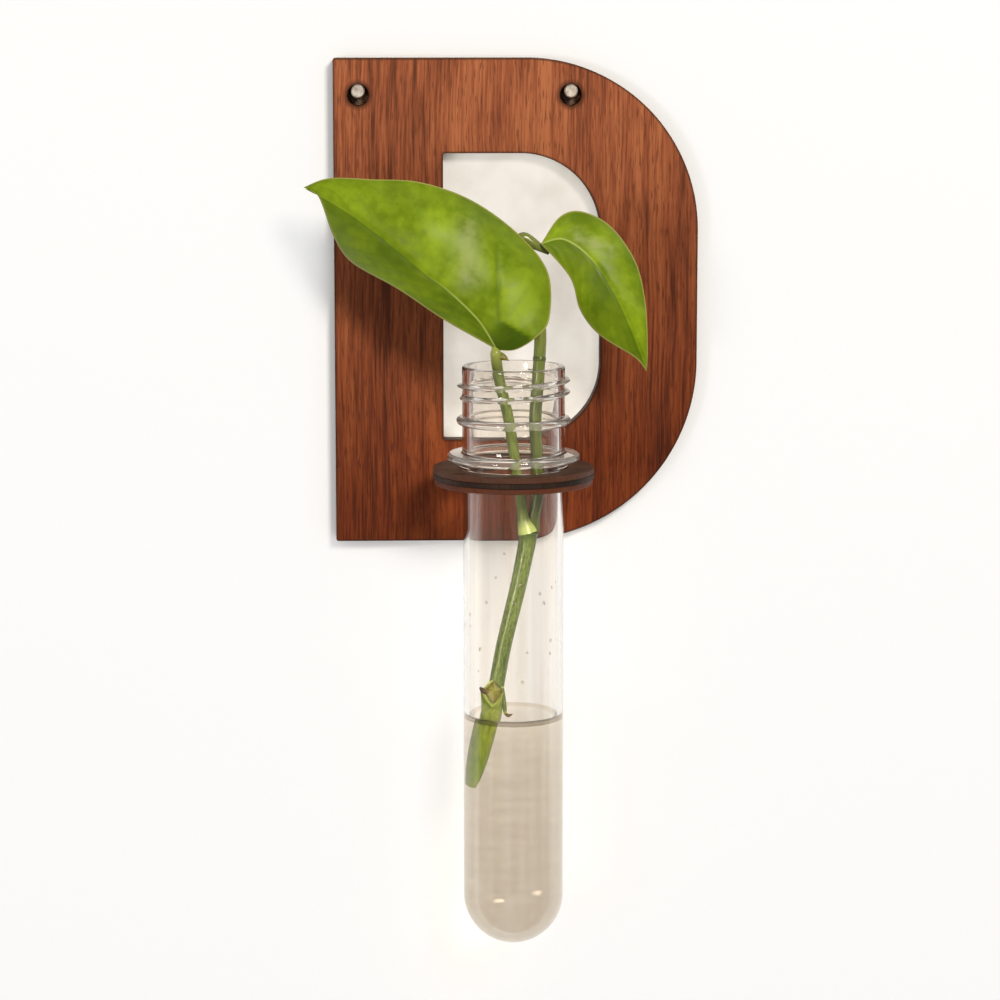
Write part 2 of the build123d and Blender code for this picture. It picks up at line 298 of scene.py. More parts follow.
def walnut(name, dark, middle, light, axis, foot, char_and_highlight, char_and_highlight_depth):
    """Sliced walnut veneer, oiled: straight grain with soft colour bands, fine fibres and short open pores.

    The sheet darkens towards its lower right, where the foot colour multiplies in: a painted shade for the
    light falling off across the plate. The laser chars its edges, which the char attribute marks; on the ring
    plies the edge colour is lighter than the wood, a painted highlight along the bevels.
    """
    material, add = new_material(name)
    place = add("TexCoord").outputs["Object"]
    inputs = {"Vector": place, "Scale": 1 / (GRAIN_WANDER * MM), "Detail": 1.0}
    wander = add("TexNoise", inputs).outputs["Color"]
    shift = add("VectorMath", (wander, (0.5, 0.5, 0.5)), operation="SUBTRACT")
    sway = add("VectorMath", {0: shift, "Scale": GRAIN_SWAY * MM}, operation="SCALE")
    grain = add("VectorMath", (place, sway))
    layers = {}
    for layer, (across, depth, along, detail) in GRAIN.items():
        sizes = {"X": (along, across, depth), "Z": (across, depth, along)}[axis]
        scaled = add("Mapping", {"Vector": grain, "Scale": pattern_scale(*sizes)})
        layers[layer] = add("TexNoise", {"Vector": scaled, "Scale": 1.0, "Detail": detail})
    slow = add("Math", (layers["band"], layers["streak"]), operation="ADD")
    soft = add("MapRange", (slow, 0.7, 1.3))
    fine = add("MapRange", (layers["fibre"], 0.3, 0.7, -0.38, 0.38))
    tone = add("Math", (soft, fine), operation="ADD", use_clamp=True)
    low = add("MapRange", (tone, 0.0, 0.5))
    high = add("MapRange", (tone, 0.5, 1.0))
    pore = add("MapRange", (layers["pore"], 0.57, 0.68, 0.0, 0.62))
    # Painted shade: the foot colour multiplies in towards the lower right
    axes = add("SeparateXYZ", (place,)).outputs
    slope = add("Math", (axes["X"], PAINTED_SHADE_LEAN, axes["Z"]), operation="MULTIPLY_ADD")
    start, end = (height * MM for height in PAINTED_SHADE_BETWEEN)
    lower = add("MapRange", (slope, start, end))
    # The edge colour is the laser's char on the plate, and on the ring plies a lighter painted highlight
    # along the bevels
    char = add("Attribute", attribute_name="char").outputs["Fac"]
    ragged = add("MapRange", (layers["fibre"], 0.2, 0.8, -0.25, 0.25))
    char_and_highlight_share = add("Math", (char, ragged), operation="MULTIPLY")
    char_and_highlight_share = add("Math", (char_and_highlight_share, char), operation="ADD", use_clamp=True)
    char_and_highlight_share = add("Math", (char_and_highlight_share, char_and_highlight_depth), operation="MULTIPLY")
    tints = (
        (low, middle, "MIX"),
        (high, light, "MIX"),
        (pore, dark, "MIX"),
        (lower, foot, "MULTIPLY"),
        (char_and_highlight_share, char_and_highlight, "MIX"),
    )
    wood = srgb(dark)
    for share, code, blend in tints:
        inputs = {0: share, 6: wood, 7: srgb(code)}
        wood = add("Mix", inputs, data_type="RGBA", blend_type=blend)
    relief = add("Math", (fine, pore), operation="SUBTRACT")
    bump = add("Bump", {"Height": relief, "Distance": 0.08 * MM, "Strength": 0.6})
    rough = add("MapRange", (layers["fibre"], 0.3, 0.7, 0.42, 0.58))
    inputs = {"Base Color": wood, "Roughness": rough, "Specular IOR Level": 0.16, "Normal": bump}
    add("OutputMaterial", {"Surface": add("BsdfPrincipled", inputs)})
    return material


def charred_edge(name, dark, light, axis):
    """Plywood edge left by the laser: near black, with fine lines across the sheet where the beam pulsed."""
    material, add = new_material(name)
    place = add("TexCoord").outputs["Object"]
    sizes = {"Y": (0.5, 12.0, 0.5), "Z": (0.5, 0.5, 8.0)}[axis]
    lines = add("Mapping", {"Vector": place, "Scale": pattern_scale(*sizes)})
    soot = add("TexNoise", {"Vector": lines, "Scale": 1.0, "Detail": 3.0})
    patch = add("TexNoise", {"Vector": place, "Scale": 1 / (7 * MM), "Detail": 2.0})
    both = add("Math", (soot, patch), operation="MULTIPLY")
    share = add("MapRange", (both, 0.15, 0.4))
    colour = add("Mix", {0: share, 6: srgb(dark), 7: srgb(light)}, data_type="RGBA")
    bump = add("Bump", {"Height": soot, "Distance": 0.1 * MM, "Strength": 0.5})
    inputs = {"Base Color": colour, "Roughness": 0.62, "Specular IOR Level": 0.3, "Normal": bump}
    add("OutputMaterial", {"Surface": add("BsdfPrincipled", inputs)})
    return material


def drawn_steel(name, bright, dull):
    """Drawn steel pin, cropped: a satin metal with fine saw marks on its flat end and a little grime."""
    material, add = new_material(name)
    place = add("TexCoord").outputs["Object"]
    # Nine saw marks to the millimetre, in slanting strokes
    strokes = {"Vector": place, "Rotation": (0.0, 0.6, 0.0), "Scale": (9 / MM, 0.4 / MM, 0.7 / MM)}
    turned = add("Mapping", strokes)
    marks = add("TexNoise", {"Vector": turned, "Scale": 1.0, "Detail": 2.0})
    grime = add("TexNoise", {"Vector": place, "Scale": 1 / (1.5 * MM), "Detail": 2.0})
    share = add("MapRange", (grime, 0.35, 0.75))
    colour = add("Mix", {0: share, 6: srgb(bright), 7: srgb(dull)}, data_type="RGBA")
    rough = add("MapRange", (marks, 0.3, 0.7, 0.28, 0.46))
    bump = add("Bump", {"Height": marks, "Distance": 0.03 * MM, "Strength": 0.5})
    inputs = {"Base Color": colour, "Metallic": 1.0, "Roughness": rough, "Normal": bump}
    add("OutputMaterial", {"Surface": add("BsdfPrincipled", inputs)})
    return material


def clear_surface(add, colour, lamp_tint, ior, clearness=1.0):
    """Ends a clear material: it bends what is behind it and lets lamps through."""
    inputs = {"Base Color": colour, "Roughness": 0.0, "IOR": ior, "Transmission Weight": clearness}
    shader = add("BsdfPrincipled", inputs)
    lamp = add("BsdfTransparent", {"Color": srgb(lamp_tint)})
    shadow = add("LightPath").outputs["Is Shadow Ray"]
    mixed = add("MixShader", (shadow, shader, lamp))
    add("OutputMaterial", {"Surface": mixed})


def clear_plastic(name, clear, flow, clearness):
    """Clear polyester, blow moulded: glassy and all but colourless, with faint flow lines down its length."""
    material, add = new_material(name)
    place = add("TexCoord").outputs["Object"]
    down = add("Mapping", {"Vector": place, "Scale": pattern_scale(2, 2, 60)})
    lines = add("TexNoise", {"Vector": down, "Scale": 1.0, "Detail": 1.0})
    share = add("MapRange", (lines, 0.35, 0.65))
    colour = add("Mix", {0: share, 6: srgb(clear), 7: srgb(flow)}, data_type="RGBA")
    clear_surface(add, colour, clear, POLYESTER_IOR, clearness)
    return material


def still_water(name, tint, deep_shade, rim_shade, ior):
    """Standing tap water. Its tint is painted shade for the darker room seen through it: deeper with depth
    and in faint level streaks, darker still at the meniscus rim, and left off the calm top.
    """
    material, add = new_material(name)
    depth, rim, surface = (
        add("Attribute", attribute_name=label).outputs["Fac"]
        for label in ("depth", "rim", "surface")
    )
    place = add("TexCoord").outputs["Object"]
    # Painted shade: the tint deepens with depth, in faint level streaks, for the darker room seen through the
    # water
    level = add("Mapping", {"Vector": place, "Scale": pattern_scale(7, 7, 1.7)})
    cloud = add("TexNoise", {"Vector": level, "Scale": 1.0, "Detail": 2.0})
    streak = add("MapRange", (cloud, 0.3, 0.7, -0.26, 0.16))
    deep_shade_share = add("Math", (depth, streak), operation="ADD", use_clamp=True)
    colour = srgb(tint)
    for share, code in ((deep_shade_share, deep_shade), (rim, rim_shade), (surface, "#ffffff")):
        colour = add("Mix", {0: share, 6: colour, 7: srgb(code)}, data_type="RGBA")
    clear_surface(add, colour, tint, ior)
    return material


def vine_skin(name, dark, light, pale, pale_until, fleck_length=5.0, tip=None):
    """Green stem skin: waxy, with lengthwise fibres and flecks, and a paler sheath at the stem's start.

    A tip, its colour and the shares of the length between which it comes in, is painted light: it lightens
    the stem's other end where it lies in shade.
    """
    material, add = new_material(name)
    ring_x, ring_y, along = (
        add("Attribute", attribute_name=label).outputs["Fac"]
        for label in ("ring_x", "ring_y", "along")
    )
    place = add("CombineXYZ", (ring_x, ring_y, along))
    layers = []
    for across, length in ((1.1, 18.0), (0.4, fleck_length)):
        turns = STEM_RADIUS / across
        inputs = {"Vector": place, "Scale": (turns, turns, STEM_LENGTH / length)}
        scaled = add("Mapping", inputs)
        layers.append(add("TexNoise", {"Vector": scaled, "Scale": 1.0, "Detail": 2.0}))
    both = add("Math", (layers[0], layers[1]), operation="ADD")
    share = add("MapRange", (both, 0.78, 1.22))
    colour = add("Mix", {0: share, 6: srgb(dark), 7: srgb(light)}, data_type="RGBA")
    tints = [(pale, 0.4 * pale_until, pale_until, 0.9, 0.0)]
    # Painted light on the stem's far end
    if tip:
        tints.append((*tip, 0.0, 0.85))
    for code, start, end, first, last in tints:
        share = add("MapRange", (along, start, end, first, last))
        colour = add("Mix", {0: share, 6: colour, 7: srgb(code)}, data_type="RGBA")
    bump = add("Bump", {"Height": both, "Distance": 0.1 * MM, "Strength": 0.4})
    inputs = {"Base Color": colour, "Roughness": 0.24, "Specular IOR Level": 0.5, "Normal": bump}
    add("OutputMaterial", {"Surface": add("BsdfPrincipled", inputs)})
    return material


def cut_flesh(name, middle, rim):
    """Cut plant flesh: moist and yellow-green, browning where it dries at the rim."""
    material, add = new_material(name)
    place = add("TexCoord").outputs["Object"]
    dry = add("Attribute", attribute_name="dry").outputs["Fac"]
    cells = add("TexVoronoi", {"Vector": place, "Scale": 1 / (0.45 * MM)})
    fleck = add("MapRange", (cells, 0.1, 0.7, -0.18, 0.22))
    share = add("Math", (dry, fleck), operation="ADD", use_clamp=True)
    colour = add("Mix", {0: share, 6: srgb(middle), 7: srgb(rim)}, data_type="RGBA")
    bump = add("Bump", {"Height": cells, "Distance": 0.1 * MM, "Strength": 0.4})
    inputs = {"Base Color": colour, "Roughness": 0.45, "Specular IOR Level": 0.4, "Normal": bump}
    add("OutputMaterial", {"Surface": add("BsdfPrincipled", inputs)})
    return material


def leaf_skin(name):
    """Waxy vine leaf: bright green in soft patches, with a pale midrib and margin. Painted shade darkens it
    under its folds, along its upper margin and in its crease, and a pale patch of painted sheen lies on it.
    """
    material, add = new_material(name)
    place = add("TexCoord").outputs["Object"]
    across, along, gap, inside, shade, painted_sheen = (
        add("Attribute", attribute_name=label).outputs["Fac"]
        for label in ("across", "along", "from_midrib", "from_margin", "shade", "painted_sheen")
    )
    patch = add("TexNoise", {"Vector": place, "Scale": 1 / (12 * MM), "Detail": 2.0})
    mottle = add("TexNoise", {"Vector": place, "Scale": 1 / (2.5 * MM), "Detail": 5.0})
    both = add("Math", (mottle, 0.6, patch), operation="MULTIPLY_ADD")
    tone = add("MapRange", (both, 0.6, 1.0))
    # Painted sheen: a pale grey-green patch where the blade catches the light, broken up by the mottle
    sheen_share = add("MapRange", (mottle, 0.35, 0.65, 0.15, 0.65))
    sheen_share = add("Math", (sheen_share, painted_sheen), operation="MULTIPLY")
    lean = add("Math", (across, -0.3, along), operation="MULTIPLY_ADD")
    waves = add("Math", (lean, 58.0), operation="MULTIPLY")
    ripple = add("Math", (waves,), operation="SINE")
    vein = add("MapRange", (ripple, 0.6, 1.0, 0.0, 0.16))
    fade = add("MapRange", (along, 0.22, 0.42, 0.9, 0.0))
    rib = add("MapRange", (gap, 0.12 * MM, 0.34 * MM, 1.0, 0.0))
    rib = add("Math", (rib, fade), operation="MULTIPLY")
    edge = add("MapRange", (inside, 0.22 * MM, 0.5 * MM, 0.8, 0.0))
    # The shade tint is painted shade and the pale grey-green tint a painted sheen; the rest are the leaf's
    # own colours
    tints = (
        (tone, "#8ca818"),
        (shade, "#3d5605"),
        (sheen_share, "#98a070"),
        (vein, "#557308"),
        (rib, "#a9bb5c"),
        (edge, "#9c9a55"),
    )
    green = srgb("#668008")
    for share, code in tints:
        green = add("Mix", {0: share, 6: green, 7: srgb(code)}, data_type="RGBA")
    relief = add("Math", (ripple, 0.5, mottle), operation="MULTIPLY_ADD")
    bump = add("Bump", {"Height": relief, "Distance": 0.12 * MM, "Strength": 0.4})
    rough = add("MapRange", (mottle, 0.35, 0.65, 0.36, 0.5))
    inputs = {"Base Color": green, "Roughness": rough, "Specular IOR Level": 0.17, "Normal": bump}
    add("OutputMaterial", {"Surface": add("BsdfPrincipled", inputs)})
    return material


# The plate veneer's foot colour #b89867 is a painted shade towards its lower right; the ring plies take none
veneer_finish = walnut("walnut_veneer_oiled", "#60301a", "#955232", "#b06b44", "Z", "#b89867", "#331809", 0.8)
# The ring plies' edge colours #57382a and #5c3222 are lighter than their wood: a painted highlight along the
# bevels
ring_finish = walnut("walnut_ring_ply", "#2b180f", "#432a1d", "#5f3d2b", "X", "#ffffff", "#57382a", 0.7)
lower_ply_finish = walnut(
    "walnut_ring_lower_ply", "#381d12", "#542d1e", "#70422d", "X", "#ffffff", "#5c3222", 0.7
)
plate_edge = charred_edge("charred_plate_edge", "#180b04", "#4a2a14", "Y")
ring_edge = charred_edge("charred_ring_core", "#140903", "#3c2213", "Z")
pin_steel = drawn_steel("drawn_steel_pin", "#ddd7ce", "#a4998d")
tube_plastic = clear_plastic("clear_polyester_moulded", "#fdfbf8", "#f8f4ee", 1.0)
ridge_plastic = clear_plastic("hazy_polyester_ridges", "#fdfbf8", "#f8f4ee", 0.84)
# The water's tints are painted shade for the darker surroundings seen through it, darker still at the
# meniscus rim
clear_water = still_water("standing_water", "#ece6dc", "#d6cfc4", "#8d8272", WATER_IOR)
calm_water = still_water("calm_water", "#ece6dc", "#d6cfc4", "#8d8272", CALM_IOR)
vine_green = vine_skin("vine_stem_skin", "#394b1b", "#6b7a3f", "#43531e", 0.06, 1.3)
# Painted light: the tip colour lightens the top of the stalk, which lies in the leaf's shadow
stalk_green = vine_skin(
    "leaf_stalk_skin", "#40501a", "#626d32", "#95a55e", 0.075, tip=("#a5ae52", 0.86, 0.97)
)
# Painted light: the tip colour lightens the rear stalk from the tube's rim up
rear_stalk_green = vine_skin(
    "rear_stalk_skin", "#333f14", "#4d5729", "#48561e", 0.05, tip=("#7d8a3c", 0.42, 0.58)
)
stub_green = vine_skin("submerged_stem_skin", "#54730a", "#859728", "#859728", 0.01)
sheath_green = vine_skin("young_sheath_skin", "#6a7c2a", "#8a9444", "#8a9444", 0.01)
bract_green = vine_skin("dried_bract_skin", "#6a6428", "#8a8444", "#6a7c2a", 0.3)
joint_green = vine_skin("stalk_joint_skin", "#3f4b1b", "#606a33", "#606a33", 0.01)
node_green = vine_skin("node_ring_skin", "#2f4413", "#4c6224", "#4c6224", 0.01)
cut_face = cut_flesh("cut_stem_flesh", "#68680e", "#3a3004")
dry_tip = cut_flesh("dried_sheath_tip", "#4d3a12", "#2e2006")
leaf_finish = leaf_skin("waxy_vine_leaf")


def link_object(name, data):
    """A new object in the scene."""
    thing = bpy.data.objects.new(name, data)
    bpy.context.scene.collection.objects.link(thing)
    return thing


def new_mesh(name, points, faces, attributes=None):
    """A mesh from points in millimetres, with values at its points."""
    mesh = bpy.data.meshes.new(name)
    mesh.from_pydata((np.asarray(points, float) * MM).tolist(), [], faces)
    for label, values in (attributes or {}).items():
        layer = mesh.attributes.new(label, "FLOAT", "POINT")
        layer.data.foreach_set("value", np.asarray(values, np.float32))
    return mesh


def finish_mesh(name, mesh, body, material, replaced=(), crease=35.0):
    """Makes a piece of a finished mesh, which rides on a body and stands for CAD nodes."""
    mesh.polygons.foreach_set("use_smooth", [True] * len(mesh.polygons))
    mesh.set_sharp_from_angle(angle=math.radians(crease))
    mesh.materials.clear()
    mesh.materials.append(material)
    piece = link_object(name, mesh)
    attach(piece, body)
    if replaced:
        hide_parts(*replaced)
    return piece


def finish_piece(name, points, faces, body, material, replaced=(), attributes=None, crease=35.0):
    """Makes a closed piece of points in millimetres and turns its faces outwards."""
    mesh = new_mesh(name, points, faces, attributes)
    work = bmesh.new()
    work.from_mesh(mesh)
    bmesh.ops.recalc_face_normals(work, faces=work.faces)
    work.to_mesh(mesh)
    work.free()
    return finish_mesh(name, mesh, body, material, replaced, crease)


def second_finish(piece, faces, marked, material):
    """Gives a piece a second material on the faces whose points are all marked."""
    piece.data.materials.append(material)
    piece.data.polygons.foreach_set("material_index", [int(marked[list(face)].all()) for face in faces])


def grid_faces(start, rows, count, closed=True):
    """The faces between rows of points of one count, from a start index. A closed row is a ring."""
    faces = []
    for first in range(start, start + (rows - 1) * count, count):
        for i in range(count if closed else count - 1):
            j = (i + 1) % count
            faces.append((first + i, first + j, first + count + j, first + count + i))
    return faces


def arc(centre, radius, start, end, steps):
    """Points along an arc, in degrees from start to end."""
    turns = np.radians(np.linspace(start, end, steps + 1))
    return np.column_stack([centre[0] + radius * np.cos(turns), centre[1] + radius * np.sin(turns)])


def d_loop(left, right, bottom, top, radii):
    """A letter-D outline, anticlockwise: square at the left, round at the right."""
    upper, lower = radii
    return np.vstack(
        [
            arc((left + CORNER, bottom + CORNER), CORNER, 180, 270, 6),
            arc((right - lower, bottom + lower), lower, 270, 360, 72),
            arc((right - upper, top - upper), upper, 0, 90, 72),
            arc((left + CORNER, top - CORNER), CORNER, 90, 180, 6),
        ]
    )


def inset(loop, distance):
    """The loop moved sideways into the material on its left."""
    before = loop - np.roll(loop, 1, axis=0)
    after = np.roll(loop, -1, axis=0) - loop
    before /= np.linalg.norm(before, axis=1, keepdims=True)
    after /= np.linalg.norm(after, axis=1, keepdims=True)
    first = np.column_stack([-before[:, 1], before[:, 0]])
    second = np.column_stack([-after[:, 1], after[:, 0]])
    middle = first + second
    return loop + distance * 2 * middle / (middle**2).sum(axis=1, keepdims=True)


def sheet(loops, low, high, lift):
    """A flat sheet between two heights, with small bevels.

    Each loop has its material on its left, and comes with the width of its edge halo: the laser's char on the
    plate, a painted highlight on the ring plies.
    """
    points, faces, char = [], [], []
    rims = {low: [], high: []}
    for loop, halo in loops:
        rows = [
            (halo, high, 0.0),
            (EDGE_BEVEL, high, 1.0),
            (0.0, high - EDGE_BEVEL, 1.0),
            (0.0, low + EDGE_BEVEL, 1.0),
            (EDGE_BEVEL, low, 1.0),
            (halo, low, 0.0),
        ]
        count = len(loop)
        start = len(points)
        for distance, height, burn in rows:
            points += [lift(x, y, height) for x, y in inset(loop, distance)]
            char += [burn] * count
        faces += grid_faces(start, len(rows), count)
        rims[high].append(range(start, start + count))
        rims[low].append(range(len(points) - count, len(points)))
    for groups in rims.values():
        order = [index for group in groups for index in group]
        flat = [[Vector(points[index]) for index in group] for group in groups]
        faces += [tuple(order[corner] for corner in triangle) for triangle in tessellate_polygon(flat)]
    return points, faces, char


def plate_loops():
    """The plate's outline, counter, slot and pin holes, each with the wood on its left and its halo."""
    outline = d_loop(plate_low.x, plate_high.x, plate_low.z, plate_high.z, BOWL_RADII)
    counter = d_loop(
        plate_low.x + SPINE_WIDTH,
        plate_high.x - BOWL_WIDTH,
        plate_low.z + BOTTOM_BAR,
        plate_high.z - TOP_BAR,
        COUNTER_RADII,
    )
    left, right = tube_x - SLOT_HALF_WIDTH, tube_x + SLOT_HALF_WIDTH
    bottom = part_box("ring_bottom_ply")[0].z / MM
    top = bottom + SLOT_HEIGHT
    slot = np.array([(left, bottom), (left, top), (right, top), (right, bottom)])
    loops = [(loop, CHAR_AND_HIGHLIGHT_HALO) for loop in (outline, counter[::-1], slot)]
    for x in (-PIN_X, PIN_X):
        loops.append((arc((x, PIN_HOLE_Z), PIN_HOLE_RADIUS, 360, 0, 48)[:-1], HOLE_HALO))
    return loops


def build_plate():
    """The plate's two veneers and its core, as bevelled sheets with charred edges."""
    layers = [
        ("front_veneer", "plate_front_veneer", "walnut_veneer", veneer_finish, front_low.y, front_high.y),
        ("plywood_core", "plate_core", "plywood_core", plate_edge, plate_low.y, plate_high.y),
        ("back_veneer", "plate_back_veneer", "walnut_veneer", veneer_finish, back_low.y, back_high.y),
    ]
    for name, node, slot, material, low, high in layers:
        points, faces, char = sheet(plate_loops(), low, high, lambda x, z, y: (x, y, z))
        finish_piece(name, points, faces, "plate", material, [node], {"char": char})


def ring_loop(radius):
    """A ring's outer line with its bridge to the plate and its tenon, anticlockwise from above."""
    bridge_y = front_low.y - tube_y
    tenon_y = back_high.y - tube_y
    reach = radius + BRIDGE_FILLET
    fillet_x = BRIDGE_HALF_WIDTH + BRIDGE_FILLET
    fillet_y = math.sqrt(reach**2 - fillet_x**2)
    lean = math.degrees(math.atan2(fillet_y, fillet_x))
    loop = np.vstack(
        [
            [(TENON_HALF_WIDTH, tenon_y), (-TENON_HALF_WIDTH, tenon_y), (-TENON_HALF_WIDTH, bridge_y)],
            [(-BRIDGE_HALF_WIDTH, bridge_y)],
            arc((-fillet_x, fillet_y), BRIDGE_FILLET, 0, -lean, 8)[:-1],
            arc((0, 0), radius, 180 - lean, 360 + lean, 220)[:-1],
            arc((fillet_x, fillet_y), BRIDGE_FILLET, lean - 180, -180, 8),
            [(BRIDGE_HALF_WIDTH, bridge_y), (TENON_HALF_WIDTH, bridge_y)],
        ]
    )
    return loop + np.array([tube_x, tube_y])


def build_ring():
    """The ring's three plies."""
    hole = arc((tube_x, tube_y), RING_HOLE_RADIUS, 360, 0, 180)[:-1]
    plies = [
        ("ring_upper_ply", "ring_top_ply", "ring_ply", ring_finish, 0.0),
        ("ring_middle_ply", "ring_core_ply", "ring_core", ring_edge, 0.0),
        ("ring_lower_ply", "ring_bottom_ply", "ring_ply", lower_ply_finish, KERF_TAPER),
    ]
    for name, node, slot, material, taper in plies:
        low, high = (corner.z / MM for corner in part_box(node))
        loops = [(ring_loop(RING_RADIUS - taper), CHAR_AND_HIGHLIGHT_HALO), (hole, CHAR_AND_HIGHLIGHT_HALO)]
        points, faces, char = sheet(loops, low, high, lambda x, y, z: (x, y, z))
        finish_piece(name, points, faces, "plate", material, [node], {"char": char})


def revolve(profile, steps, bulge=None):
    """A closed profile of (radius, height) turned about the tube's axis; bulge adds to a point's radius."""
    turns = np.arange(steps) * 2 * math.pi / steps
    points, faces, rings = [], [], []
    for radius, z in profile:
        if radius < 1e-6:
            rings.append([len(points)] * steps)
            points.append(at(0, 0, z))
            continue
        rings.append(list(range(len(points), len(points) + steps)))
        for turn in turns:
            r = radius + (bulge(radius, turn, z) if bulge else 0.0)
            points.append(at(r * math.cos(turn), r * math.sin(turn), z))
    for lower, upper in zip(rings, rings[1:] + rings[:1]):
        for i in range(steps):
            j = (i + 1) % steps
            kept = tuple(dict.fromkeys((lower[i], lower[j], upper[j], upper[i])))
            if len(kept) > 2:
                faces.append(kept)
    return points, faces


def wall_run(radius, start, end, count):
    """Profile points straight up or down a wall, without the first."""
    heights = np.linspace(start, end, count)[1:]
    return np.column_stack([np.full(len(heights), radius), heights])


def off_axis(places):
    """How far each place lies from the tube's axis."""
    return np.hypot(places[:, 0] - tube_x, places[:, 1] - tube_y)


def thread_bulge(radius, turn, z):
    """How far the screw thread stands out of the neck: a right-hand ridge that runs out at both ends."""
    best = 0.0
    if radius != NECK_RADIUS:
        return best
    for lap in range(-1, 3):
        wound = (turn - math.radians(THREAD_TURN_FROM)) / (2 * math.pi) + lap
        if not 0 <= wound <= THREAD_TURNS:
            continue
        off = abs(z - THREAD_START - THREAD_PITCH * wound) / THREAD_HALF_WIDTH
        ends = min(1.0, wound / THREAD_RUN_OUT, (THREAD_TURNS - wound) / THREAD_RUN_OUT)
        if off < 1:
            best = max(best, THREAD_HEIGHT * ends * math.cos(off * math.pi / 2) ** THREAD_SHARPNESS)
    return best


def build_tube():
    """The moulded tube, in one surface: round bottom, body, collar, flange, bead, threaded neck and rim."""
    lip = FLANGE_RADIUS - FLANGE_ROUND
    turns = np.linspace(-math.pi / 2, math.pi / 2, 17)
    swell = BEAD_HEIGHT * np.cos(turns) ** BEAD_BLUNTNESS
    bead = np.column_stack([NECK_RADIUS + swell, BEAD_Z + BEAD_HALF_LENGTH * np.sin(turns)])
    profile = np.vstack(
        [
            arc((0, BOTTOM_Z), BODY_RADIUS, -90, 0, 39),
            wall_run(BODY_RADIUS, BOTTOM_Z, 0.0, 30),
            [(COLLAR_RADIUS - COLLAR_EDGE, 0.0)],
            [(COLLAR_RADIUS, COLLAR_EDGE), (COLLAR_RADIUS, COLLAR_HEIGHT)],
            arc((lip, COLLAR_HEIGHT + FLANGE_ROUND), FLANGE_ROUND, -90, 0, 8),
            arc((lip, FLANGE_TOP - FLANGE_ROUND), FLANGE_ROUND, 0, 90, 8),
            arc((NECK_RADIUS + NECK_FILLET, FLANGE_TOP + NECK_FILLET), NECK_FILLET, -90, -180, 6),
            wall_run(NECK_RADIUS, FLANGE_TOP + NECK_FILLET, BEAD_Z - BEAD_HALF_LENGTH, 8)[:-1],
            bead,
            wall_run(NECK_RADIUS, BEAD_Z + BEAD_HALF_LENGTH, RIM_Z - RIM_ROUND, 90),
            arc((NECK_RADIUS - RIM_ROUND, RIM_Z - RIM_ROUND), RIM_ROUND, 0, 90, 5)[1:],
            arc((BORE_RADIUS + RIM_ROUND, RIM_Z - RIM_ROUND), RIM_ROUND, 90, 180, 5),
            wall_run(BORE_RADIUS, RIM_Z - RIM_ROUND, BOTTOM_Z, 50),
            arc((0, BOTTOM_Z), BORE_RADIUS, 0, -90, 39)[1:],
        ]
    )
    points, faces = revolve(profile, TUBE_SIDES, thread_bulge)
    tube = finish_piece(
        "screw_neck_tube", points, faces, "tube", tube_plastic, ["test_tube"], crease=40
    )
    # The flange, the bead and the thread are a little hazy, where the mould parts.
    places = np.array(points)
    above_collar = places[:, 2] > ring_top + COLLAR_HEIGHT - RIDGE_SHOWS
    second_finish(tube, faces, above_collar & (off_axis(places) > NECK_RADIUS + RIDGE_SHOWS), ridge_plastic)


def build_water():
    """The water, with a meniscus up the wall. It reaches a hair into the plastic, so no air lies between."""
    radius = BORE_RADIUS + WATER_OVERLAP
    inwards = np.linspace(0, MENISCUS_REACH * MENISCUS_SPAN, 16)[1:]
    sag = WATER_Z + MENISCUS_RISE * np.exp(-MENISCUS_FALL * inwards / MENISCUS_REACH)
    profile = np.vstack(
        [
            arc((0, BOTTOM_Z), radius, -90, 0, 39),
            wall_run(radius, BOTTOM_Z, WATER_Z - MENISCUS_FOOT, 40),
            wall_run(radius, WATER_Z - MENISCUS_FOOT, WATER_Z + MENISCUS_RISE, 8),
            np.column_stack([radius - inwards, sag]),
            [(4.5, WATER_Z), (2.0, WATER_Z), (0.0, WATER_Z)],
        ]
    )
    points, faces = revolve(profile, WATER_SIDES)
    places = np.array(points)
    over = places[:, 2] - ring_top - WATER_Z
    forward = (tube_y - places[:, 1]) / radius
    band = (over > -0.5) & (off_axis(places) > radius - 0.6 * MENISCUS_REACH)
    top = (over > -0.1) & (off_axis(places) < radius - 0.05) & ~band
    # Painted shade: the rim colour lies along the meniscus, strongest on the near side; the tint deepens
    # below the water line
    marks = {
        "rim": band * np.clip(0.5 + 1.5 * forward, 0, 1),
        "surface": top,
        "depth": 1 - np.exp(np.minimum(over, 0) / PAINTED_SHADE_DEPTH),
    }
    water = finish_piece("standing_water", points, faces, "tube", clear_water, ["water"], marks, 50)
    # The calm top and the far half hardly bend what is seen, so the water line's ends show no dark patch.
    second_finish(water, faces, top | (forward < 0), calm_water)


def smooth_line(places, count):
    """Evenly spaced points on a smooth line through the given ones."""
    knots = np.asarray(places, float)
    padded = np.vstack([2 * knots[0] - knots[1], knots, 2 * knots[-1] - knots[-2]])
    t = np.linspace(0, 1, 24, endpoint=False)[:, None]
    spans = []
    for a, b, c, d in zip(padded, padded[1:], padded[2:], padded[3:]):
        curl = (2 * a - 5 * b + 4 * c - d) * t**2 + (3 * b - a - 3 * c + d) * t**3
        spans.append(0.5 * (2 * b + (c - a) * t + curl))
    dense = np.vstack(spans + [knots[-1:]])
    length = np.concatenate([[0], np.cumsum(np.linalg.norm(np.diff(dense, axis=0), axis=1))])
    wanted = np.linspace(0, length[-1], count)
    return np.column_stack([np.interp(wanted, length, dense[:, axis]) for axis in range(dense.shape[1])])


